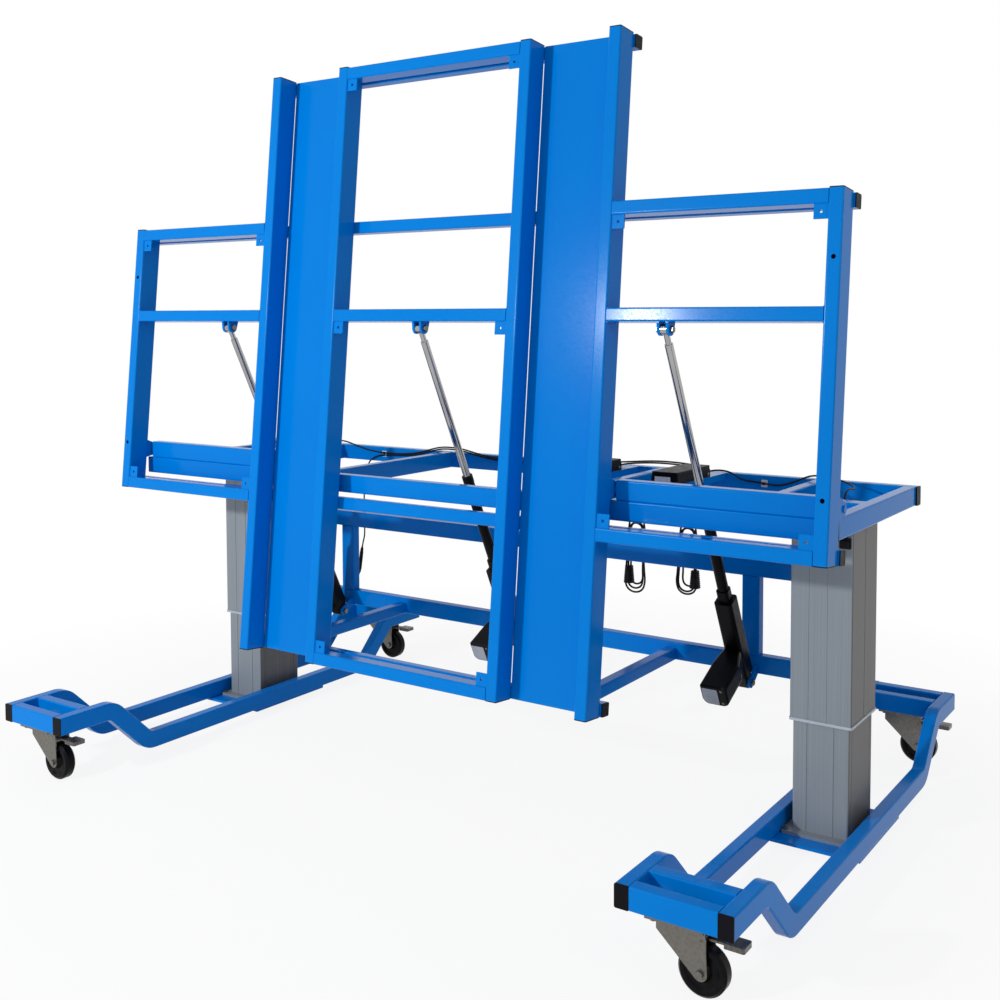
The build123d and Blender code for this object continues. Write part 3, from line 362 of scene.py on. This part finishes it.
supply_route += [
    (-0.808, cable_y, 1.008),
    (-0.847, cable_y, 1.001),
    (-0.876, 0.4155, 0.985),
    (-0.894, 0.414, 0.958),
    (-0.903, 0.413, 0.922),
    (-0.908, lead_y, 0.878),
    (-0.911, 0.411, 0.824),
    (-0.9115, 0.411, 0.765),
    (-0.91, 0.4115, 0.71),
    (-0.91, lead_y, 0.664),
    connector_top - connector_down * 0.033,
    connector_top,
]
lead_end = Vector((-0.91, 0.321, 0.4405))
lead_route = [
    connector_bottom,
    connector_bottom + connector_down * 0.022,
    lead_end + Vector((-0.034, 0.074, 0.022)),
    lead_end + Vector((-0.027, 0.048, 0.004)),
    lead_end + Vector((-0.009, 0.028, 0.0003)),
    lead_end + Vector((0.0, 0.012, 0.0)),
    lead_end,
]


def column_tail(side, end):
    """Last stretch of a column's cable, round the frame's corner and down to the gland over the column."""
    return [
        Vector((side * 1.118, 0.3976, 1.05)),
        Vector((side * 1.156, 0.3756, 1.044)),
        Vector((side * 1.186, 0.3446, 1.0395)),
        Vector((side * 1.203, 0.3106, 1.037)),
        end + Vector((side * 0.001, 0.086, 0.038)),
        end + Vector((0.0, 0.054, 0.044)),
        end + Vector((0.0, 0.026, 0.043)),
        end + Vector((0.0, 0.007, 0.03)),
        end + Vector((0.0, 0.0, 0.011)),
        end,
    ]


left_column_end = Vector((-1.2075, 0.2, 0.999))
left_route = [
    (left_gland_x, gland_end_y, gland_z),
    (left_gland_x, 0.345, gland_z),
    (0.29, 0.366, 1.0535),
    (0.275, 0.386, 1.0535),
    (0.25, 0.403, 1.053),
    (0.216, 0.412, 1.051),
    (0.17, 0.416, 1.046),
]
left_route += [point + half_stack for point in shared_route]
left_route += [
    (-0.828, cable_y, 1.018),
    (-0.89, cable_y, 1.024),
    (-0.945, cable_y, 1.036),
    (-0.99, 0.4165, 1.049),
    (-1.028, 0.4145, 1.056),
    (-1.075, 0.4095, 1.056),
]
left_route += column_tail(-1, left_column_end)
right_column_end = Vector((1.2075, 0.2, 0.999))
right_route = [
    (right_gland_x, gland_end_y, gland_z),
    (right_gland_x, 0.345, gland_z),
    (0.699, 0.366, 1.0535),
    (0.712, 0.385, 1.053),
    (0.731, 0.4, 1.0495),
    (0.75, 0.409, 1.04),
    (0.768, 0.4135, 1.027),
    (0.792, 0.416, 1.019),
    (0.823, cable_y, 1.018),
    (0.857, cable_y, 1.0145),
    (0.892, cable_y, 1.0105),
    (0.928, cable_y, 1.014),
    (0.964, cable_y, 1.027),
    (0.998, 0.4165, 1.043),
    (1.027, 0.4145, 1.054),
    (1.075, 0.4095, 1.055),
]
right_route += column_tail(1, right_column_end)

cable_link = make_cord("cable_link", link_route, cable_radius)
cable_supply = make_cord("cable_supply", supply_route, cable_radius)
cable_lead = make_cord("cable_lead", lead_route, cable_radius)
cable_left = make_cord("cable_left", left_route, cable_radius)
cable_right = make_cord("cable_right", right_route, cable_radius)
for cord in (cable_link, cable_supply, cable_lead, cable_left, cable_right):
    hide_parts("frame_cables")


# Hanks: teardrop loops that differ in width and depth, folded over at the neck
hank_radius = 0.0035
hank_neck = 0.8
hank_pitch = 0.009
hank_first_y = 0.4305
hank_half_stack = 1.5 * hank_pitch
hank_middle_y = hank_first_y + hank_half_stack
stem_top = 0.966
stem_offset = 0.015
# Each stem from its gland down: distance from the hank's middle, and height
stem = (
    (stem_offset, stem_top),
    (stem_offset, stem_top - 0.02),
    (stem_offset + 0.002, 0.9),
    (stem_offset + 0.004, 0.85),
)
fold = 0.0268


def hank_route(x, bottom, loops):
    """Route of a hank: each loop has a half width, a shift to the side and a lift of its lowest point.

    The factors shape each loop as a teardrop that hangs from the neck.
    """
    y = hank_first_y
    low = bottom + hank_radius + loops[0][0]
    points = [(x - offset, y, height) for offset, height in stem]
    for number, (half, shift, lift) in enumerate(loops):
        middle = x + shift
        centre = low + lift
        wide = 1.06 * half
        upper = 0.6 * hank_neck + 0.4 * centre
        flare = fold + 0.3 * (half - fold)
        lean_x = x + 0.4 * shift
        points += [
            (x - fold, y, hank_neck),
            (lean_x - flare, y, upper),
            (middle - 0.93 * half, y, 0.22 * hank_neck + 0.78 * centre),
            (middle - wide, y, centre),
            (middle - 0.76 * wide, y, centre - 0.76 * wide),
            (middle, y, centre - 1.04 * wide),
            (middle + 0.76 * wide, y + 0.05 * hank_pitch, centre - 0.76 * wide),
            (middle + wide, y + 0.15 * hank_pitch, centre),
            (middle + 0.93 * half, y + 0.4 * hank_pitch, 0.22 * hank_neck + 0.78 * centre),
            (lean_x + flare, y + 0.75 * hank_pitch, upper),
        ]
        y += hank_pitch
        points.append((x + fold, y, hank_neck))
        if number < len(loops) - 1:
            points += [
                (x + 0.85 * fold, y, hank_neck + 0.9 * fold),
                (x, y, hank_neck + 1.25 * fold),
                (x - 0.85 * fold, y, hank_neck + 0.9 * fold),
            ]
    points += [(x + offset, y, height) for offset, height in reversed(stem)]
    return points


left_loops = ((0.039, 0.0, 0.0), (0.03, -0.004, 0.003), (0.024, -0.003, 0.011))
right_loops = ((0.038, 0.001, 0.001), (0.031, -0.004, 0.001), (0.024, 0.002, 0.012))
# Each hank's x, lowest height, loops and length
hanks = {
    "hank_left": (0.36, 0.579, left_loops, 1.86),
    "hank_right": (0.565, 0.596, right_loops, 1.77),
}
for hank_name, (hank_x, hank_bottom, hank_loops, hank_length) in hanks.items():
    hank_points = hank_route(hank_x, hank_bottom, hank_loops)
    hank = make_cord(f"{hank_name}_cord", hank_points, hank_radius)
    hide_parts(hank_name)


# Small pieces: forms lofted through rings of points, placed by a matrix
def rounded_outline(width, height, corners, steps=5):
    """Points of a rectangle with its own radius at each corner, from the upper right round to the left."""
    points = []
    for quarter, (side_x, side_y) in enumerate(((1, 1), (-1, 1), (-1, -1), (1, -1))):
        radius = corners[quarter]
        for step in range(steps + 1):
            angle = math.pi / 2 * (quarter + step / steps)
            across = side_x * (width / 2 - radius) + radius * math.cos(angle)
            points.append((across, side_y * (height / 2 - radius) + radius * math.sin(angle)))
    return points


def even(radius):
    """The same radius at all four corners."""
    return (radius,) * 4


def circle_outline(radius, count=24):
    angles = [2 * math.pi * index / count for index in range(count)]
    return [(radius * math.cos(angle), radius * math.sin(angle)) for angle in angles]


def loft(form, place, rings, closed=False):
    """Walls through rings, each an outline and its height, with end faces, or joined end to start."""
    rows = [[form.verts.new(place @ Vector((x, y, height))) for x, y in outline] for outline, height in rings]
    pairs = list(zip(rows, rows[1:]))
    if closed:
        pairs.append((rows[-1], rows[0]))
    else:
        form.faces.new(list(reversed(rows[0])))
        form.faces.new(rows[-1])
    for lower, upper in pairs:
        for index in range(len(lower)):
            form.faces.new((lower[index - 1], lower[index], upper[index], upper[index - 1]))


def plate(form, place, width, height, thickness, corners, edge):
    """Rounded plate with a chamfered front edge."""
    least = 0.0002
    inner = tuple(max(radius - edge, least) for radius in corners)
    full = rounded_outline(width, height, corners)
    front = rounded_outline(width - 2 * edge, height - 2 * edge, inner)
    loft(form, place, [(full, 0.0), (full, thickness - edge), (front, thickness)])


def screw(form, place, radius):
    """Washer, domed head and a round recess: radii and heights as shares of the head's radius."""
    washer = [(1.5, 0.0), (1.5, 0.25)]
    dome = [(1.0, 0.26), (1.0, 0.6), (0.8, 0.85), (0.45, 0.95)]
    recess = [(0.4, 0.45)]
    rings = washer + dome + recess
    loft(form, place, [(circle_outline(radius * share), radius * height) for share, height in rings])


def band(form, place, width, depth, thickness, height, corner):
    """Closed strap of a cable tie, with its head at the end of a straight side."""
    inner = rounded_outline(width, depth, even(corner))
    outer = rounded_outline(width + 2 * thickness, depth + 2 * thickness, even(corner + thickness))
    loft(form, place, [(inner, 0.0), (inner, height), (outer, height), (outer, 0.0)], closed=True)
    head = Matrix.Translation((width / 2 - corner, depth / 2 + thickness / 2, height / 2))
    turned = Matrix.Rotation(-math.pi / 2, 4, "X")
    head_place = place @ head @ turned
    plate(form, head_place, width=0.007, height=0.0065, thickness=0.005, corners=even(0.001), edge=0.0008)


def boot(form, place, base, tip, length):
    """Tapered sleeve with two ribs round the end of a cable."""
    # Each ring's share of the taper, from tip to base, and of the length
    ribs = [(1.0, 0.0), (1.0, 0.18), (0.86, 0.2), (0.86, 0.3)]
    ribs += [(0.94, 0.32), (0.9, 0.5), (0.76, 0.52), (0.74, 0.62)]
    rings = [(circle_outline(tip + (base - tip) * share), length * height) for share, height in ribs]
    rings.append((circle_outline(tip), length))
    loft(form, place, rings)


def wrap(form, place, width, depth, cable, turns):
    """Turns of cable wound side by side round a bundle, slimmer towards the top, as one rippled form."""
    taper = 0.25
    corner_share = 0.4
    across_turn = (0.05, 0.2, 0.5, 0.8, 0.95)
    rings = []
    for turn in range(turns):
        slim = 1.0 - taper * turn / turns
        for share in across_turn:
            inset = cable * (0.5 - math.sqrt(0.25 - (share - 0.5) ** 2))
            wide = slim * width - 2 * inset
            deep = slim * depth - 2 * inset
            outline = rounded_outline(wide, deep, even(corner_share * min(wide, deep)))
            rings.append((outline, cable * (turn + share)))
    loft(form, place, rings)


def axes(origin, right, up):
    """Matrix of a place whose x is right and whose y is up."""
    right = Vector(right).normalized()
    up = Vector(up).normalized()
    turned = Matrix((right, up, right.cross(up))).transposed().to_4x4()
    return Matrix.Translation(origin) @ turned


def on_front(origin):
    """Matrix of a place on a face that looks to the front."""
    return axes(origin, (1, 0, 0), (0, 0, 1))


def facing(origin, out):
    """Matrix of a place whose z points out."""
    return Matrix.Translation(origin) @ Vector(out).to_track_quat("Z", "Y").to_matrix().to_4x4()


sharp_angle = math.radians(35)


def add_piece(name, form, body, finish):
    bmesh.ops.recalc_face_normals(form, faces=form.faces)
    mesh = bpy.data.meshes.new(name)
    form.to_mesh(mesh)
    form.free()
    mesh.shade_smooth()
    mesh.set_sharp_from_angle(angle=sharp_angle)
    mesh.materials.append(finish)
    piece = bpy.data.objects.new(name, mesh)
    bpy.context.scene.collection.objects.link(piece)
    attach(piece, body)


# Sleeves on the glands, on the inline connector and on the tops of the hanks
rearward = (0, 1, 0)
upward = (0, 0, 1)
downward = (0, 0, -1)
boot_base = 0.006
boot_tip = 0.0035
connector_boot_base = 0.0066
boots = bmesh.new()
for gland_x in (left_gland_x, return_gland_x, link_gland_x, supply_gland_x, right_gland_x):
    boot(boots, facing((gland_x, gland_end_y, gland_z), rearward), boot_base, boot_tip, length=0.014)
for column_end in (left_column_end, right_column_end):
    boot(boots, facing(column_end, upward), boot_base, boot_tip, length=0.01)
boot(boots, facing(lead_end, rearward), boot_base, boot_tip, length=0.011)
boot(boots, facing(connector_top, -connector_down), connector_boot_base, boot_tip, length=0.022)
boot(boots, facing(connector_bottom, connector_down), connector_boot_base, boot_tip, length=0.018)
for hank_x, _, _, _ in hanks.values():
    for side in (-1, 1):
        stem_end = (hank_x + side * stem_offset, hank_middle_y + side * hank_half_stack, stem_top)
        boot(boots, facing(stem_end, downward), base=0.0058, tip=0.004, length=0.018)
add_piece("cable_boots", boots, "lift", finishes["cable"])

# Tie mounts on the rear beam's front face, and the ties
rear_beam_front = 0.424
strap_height = 0.0048
hank_tie_z = 0.776
# Place along the beam, height, and inner width for two cables or one
tie_places = ((-0.808, 1.0125, 0.0165), (0.857, 1.0135, 0.0072))
tie_mounts = bmesh.new()
ties = bmesh.new()
for tie_x, tie_z, tie_width in tie_places:
    mount = on_front((tie_x, rear_beam_front, tie_z))
    plate(tie_mounts, mount, width=0.022, height=0.024, thickness=0.0032, corners=even(0.002), edge=0.0008)
    strap = axes((tie_x - strap_height / 2, cable_y, tie_z), (0, 0, 1), (0, -1, 0))
    band(ties, strap, tie_width, depth=0.0072, thickness=0.0011, height=strap_height, corner=0.003)
for hank_x, _, _, _ in hanks.values():
    strap = Matrix.Translation((hank_x, hank_middle_y, hank_tie_z))
    band(ties, strap, width=0.062, depth=0.0365, thickness=0.0012, height=strap_height, corner=0.012)
add_piece("tie_mounts", tie_mounts, "lift", white_nylon)
add_piece("cable_ties", ties, "lift", finishes["cable"])

# Wraps round the runs on one side of each hank
wrap_places = ((0.3315, 0.4395, 0.611), (0.593, 0.4425, 0.621))
hank_wraps = bmesh.new()
for wrap_place in wrap_places:
    place = Matrix.Translation(wrap_place)
    wrap(hank_wraps, place, width=0.037, depth=0.038, cable=2 * hank_radius, turns=9)
add_piece("hank_wraps", hank_wraps, "lift", finishes["cable"])

# Bare plates and screws on the control boxes
box_front_y = 0.062
box_plate_z = 1.054
box_plate_shift = 0.005
box_half_width = 0.0475
box_screw_y = 0.289
box_screw_z = 1.049
box_plates = bmesh.new()
box_screws = bmesh.new()
for box_x in (0.325, 0.664):
    box_front = on_front((box_x - box_plate_shift, box_front_y, box_plate_z))
    plate(
        box_plates,
        box_front,
        width=0.056,
        height=0.017,
        thickness=0.0008,
        corners=even(0.002),
        edge=0.0003,
    )
    for side in (-1, 1):
        box_side = facing((box_x + side * box_half_width, box_screw_y, box_screw_z), (side, 0, 0))
        screw(box_screws, box_side, radius=0.0046)
add_piece("box_plates", box_plates, "lift", white_nylon)
add_piece("box_screws", box_screws, "lift", finishes["zinc"])

# Bare plates and screws on the motors
actuator_axis = Vector((0.0, -0.44186109, 0.89708348))
motor_out = Vector((0.0, -actuator_axis.z, actuator_axis.y))
lower_pin = Vector((0.0, 0.217, 0.395))
motor_up = 0.124
motor_reach = 0.214
motor_shift = 0.01
motor_end = lower_pin + actuator_axis * motor_up + motor_out * motor_reach
motor_plate_left = Vector((-0.0125, 0, 0))
motor_plate_down = 0.002
motor_plate_corners = (0.004, 0.003, 0.018, 0.003)
motor_screw_right = Vector((0.026, 0, 0))
motor_screw_heights = (0.024, -0.022)
for actuator, actuator_x in (("left", -0.876), ("centre", 0.0), ("right", 0.876)):
    middle = motor_end + Vector((actuator_x + motor_shift, 0.0, 0.0))
    motor_plate = bmesh.new()
    plate_middle = middle + motor_plate_left - actuator_axis * motor_plate_down
    plate_place = axes(plate_middle, (1, 0, 0), actuator_axis)
    plate(
        motor_plate,
        plate_place,
        width=0.051,
        height=0.058,
        thickness=0.0006,
        corners=motor_plate_corners,
        edge=0.0002,
    )
    add_piece(f"motor_plate_{actuator}", motor_plate, f"actuator_{actuator}", bare_plate)
    motor_screws = bmesh.new()
    for height in motor_screw_heights:
        head = middle + motor_screw_right + actuator_axis * height
        screw(motor_screws, axes(head, (1, 0, 0), actuator_axis), radius=0.003)
    add_piece(f"motor_screws_{actuator}", motor_screws, f"actuator_{actuator}", finishes["zinc"])


# Weld beads: along the corners where tubes meet, with a rippled face
def make_welds(name, body, paths):
    ripple_step = 0.0035
    ripple_low = 0.75
    curve = bpy.data.curves.new(name, "CURVE")
    curve.dimensions = "3D"
    curve.bevel_depth = 0.003
    curve.bevel_resolution = 1
    curve.use_fill_caps = True
    for path in paths:
        places = []
        for start, end in zip(path, path[1:]):
            steps = max(2, round((end - start).length / ripple_step))
            places += [start.lerp(end, step / steps) for step in range(steps)]
        places.append(path[-1])
        bead = curve.splines.new("POLY")
        bead.points.add(len(places) - 1)
        for number, place in enumerate(places):
            bead.points[number].co = (*place, 1.0)
            bead.points[number].radius = 1.0 if number % 2 else ripple_low
    welds = bpy.data.objects.new(name, curve)
    bpy.context.scene.collection.objects.link(welds)
    curve.materials.append(finishes["blue_paint"])
    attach(welds, body)


lean = math.radians(5.68)
along = Vector((0.0, math.sin(lean), math.cos(lean)))
back = Vector((0.0, math.cos(lean), -math.sin(lean)))
tube_half = 0.02
tube_depth = 0.06
tilt_axis = Vector((0.0, -0.305, 1.07))
tilt_axis_s = 0.6584
tilt_axis_depth = 0.1177
bead_front = 0.004


def on_worktop(x, s, depth):
    """Point of the upright worktop: s up along the uprights, depth back from their front face."""
    return tilt_axis + Vector((x, 0.0, 0.0)) + along * (s - tilt_axis_s) + back * (depth - tilt_axis_depth)


def tube_end_bead(x, s, over=True, under=True):
    """Corner points round the end of a cross tube, over it, down its back and under it."""
    points = [on_worktop(x, s + tube_half, tube_depth), on_worktop(x, s - tube_half, tube_depth)]
    if over:
        points.insert(0, on_worktop(x, s + tube_half, bead_front))
    if under:
        points.append(on_worktop(x, s - tube_half, bead_front))
    return points


def upright_bead(x, y, low, high):
    return [Vector((x, y, low)), Vector((x, y, high))]


# Ends of the cross tubes: of the centre frame, and of the wings at their inner and outer uprights
centre_end_x = 0.349
wing_inner_x = 0.7
wing_outer_x = 1.341
centre_low_s = 0.02
middle_s = 1.161
centre_top_s = 1.977
wing_low_s = 0.532
wing_top_s = 1.468
# Inner faces of the lift frame's front and rear beam, and the tubes that end there
frame_faces_y = (-0.285, rear_beam_front)
frame_corner_x = 1.32
inner_tubes_x = (0.48, 1.05)
frame_bead_z = (0.982, 1.038)
# Cross tubes at the raised ends of the feet
foot_ends_x = (1.0945, 1.3205)
foot_beads_y = (0.811, 0.851, 0.911)
foot_bead_z = (0.185, 0.24)
worktop_beads = []
lift_beads = []
foot_beads = []
for side in (-1, 1):
    worktop_beads.append(tube_end_bead(side * centre_end_x, centre_low_s, under=False))
    worktop_beads.append(tube_end_bead(side * centre_end_x, middle_s))
    worktop_beads.append(tube_end_bead(side * centre_end_x, centre_top_s, over=False))
    for s in (wing_low_s, middle_s, wing_top_s):
        worktop_beads.append(tube_end_bead(side * wing_inner_x, s))
        over = s < wing_top_s
        under = s > wing_low_s
        worktop_beads.append(tube_end_bead(side * wing_outer_x, s, over, under))
    for beam_y in frame_faces_y:
        lift_beads.append(upright_bead(side * frame_corner_x, beam_y, *frame_bead_z))
        for tube_x in inner_tubes_x:
            lift_beads.append(upright_bead(side * (tube_x - tube_half), beam_y, *frame_bead_z))
            lift_beads.append(upright_bead(side * (tube_x + tube_half), beam_y, *frame_bead_z))
    for end in (-1, 1):
        for foot_x in foot_ends_x:
            for foot_y in foot_beads_y:
                foot_beads.append(upright_bead(side * foot_x, end * foot_y, *foot_bead_z))
make_welds("worktop_welds", "top", worktop_beads)
make_welds("frame_welds", "lift", lift_beads)
make_welds("foot_welds", "base", foot_beads)

# Plug at the head of the right column
plug_x = 1.279
plug_flange = 0.007
plug_corners = even(0.003)
plug = bmesh.new()
plug_place = on_front((plug_x, 0.0074, 0.92))
plate(plug, plug_place, width=0.034, height=0.032, thickness=plug_flange, corners=plug_corners, edge=0.0012)
plug_nose = plug_place @ Matrix.Translation((0.0, -0.002, plug_flange))
plate(plug, plug_nose, width=0.026, height=0.02, thickness=0.009, corners=plug_corners, edge=0.0015)
boot(plug, facing((plug_x, 0.0, 0.936), upward), base=0.0062, tip=boot_tip, length=0.03)
add_piece("column_plug", plug, "lift", finishes["cable"])


# Stage: pale floor that keeps the shadow, white surroundings, a key lamp and a weak side lamp
def seen_plainly(tree):
    """Socket that is 1 for camera, glossy and transmission rays, which see plain white surroundings."""
    path = tree.nodes.new("ShaderNodeLightPath")
    seen = path.outputs["Is Camera Ray"]
    for kind in ("Is Glossy Ray", "Is Transmission Ray"):
        larger = tree.nodes.new("ShaderNodeMath")
        larger.operation = "MAXIMUM"
        tree.links.new(seen, larger.inputs[0])
        tree.links.new(path.outputs[kind], larger.inputs[1])
        seen = larger.outputs[0]
    return seen


def blend(tree, share, first, second, output):
    """Mix two shaders by a share and show them on an output node."""
    mix = tree.nodes.new("ShaderNodeMixShader")
    tree.links.new(share, mix.inputs["Fac"])
    tree.links.new(first.outputs[0], mix.inputs[1])
    tree.links.new(second.outputs[0], mix.inputs[2])
    tree.links.new(mix.outputs[0], tree.nodes[output].inputs["Surface"])


def make_world():
    world = bpy.data.worlds.new("studio")
    world.use_nodes = True
    tree = world.node_tree
    light = tree.nodes["Background"]
    white = tree.nodes.new("ShaderNodeBackground")
    for background, strength in ((light, 0.42), (white, 1.0)):
        background.inputs["Color"].default_value = (1.0, 1.0, 1.0, 1.0)
        background.inputs["Strength"].default_value = strength
    blend(tree, seen_plainly(tree), light, white, "World Output")
    bpy.context.scene.world = world


def make_floor():
    mesh = bpy.data.meshes.new("floor")
    half = 60.0
    corners = [(-half, -half, 0), (half, -half, 0), (half, half, 0), (-half, half, 0)]
    mesh.from_pydata(corners, [], [(0, 1, 2, 3)])
    floor = bpy.data.objects.new("floor", mesh)
    bpy.context.scene.collection.objects.link(floor)
    pale = Finish("pale_floor")
    grain = pale.span(pale.noise(5.0))
    pale.set(Base_Color=pale.mix(grain, (0.84, 0.85, 0.86), (0.88, 0.88, 0.88)), Roughness=0.8)
    tree = pale.tree
    white = tree.nodes.new("ShaderNodeEmission")
    distance = pale.node("ShaderNodeVectorMath", Vector=pale.place)
    distance.operation = "LENGTH"
    share = pale.span(distance.outputs["Value"], low=0.88, high=1.0, start=1.6, end=3.0)
    factor = tree.nodes.new("ShaderNodeMath")
    factor.operation = "MULTIPLY"
    tree.links.new(seen_plainly(tree), factor.inputs[0])
    tree.links.new(share, factor.inputs[1])
    blend(tree, factor.outputs[0], pale.shader, white, "Material Output")
    mesh.materials.append(pale.material)


def make_lamp(name, place, aim, size, power):
    data = bpy.data.lights.new(name, "AREA")
    data.shape = "DISK"
    data.size = size
    data.energy = power
    lamp = bpy.data.objects.new(name, data)
    bpy.context.scene.collection.objects.link(lamp)
    lamp.location = place
    lamp.rotation_euler = (Vector(aim) - Vector(place)).to_track_quat("-Z", "Y").to_euler()
    lamp.visible_camera = False


make_world()
make_floor()
make_lamp("key", place=(-1.7, -5.0, 2.48), aim=(0.0, -0.3, 1.1), size=0.25, power=158.0)
make_lamp("side", place=(4.6, -1.6, 2.6), aim=(0.0, 0.0, 1.0), size=0.8, power=15.0)

bpy.context.scene.view_settings.view_transform = "Standard"
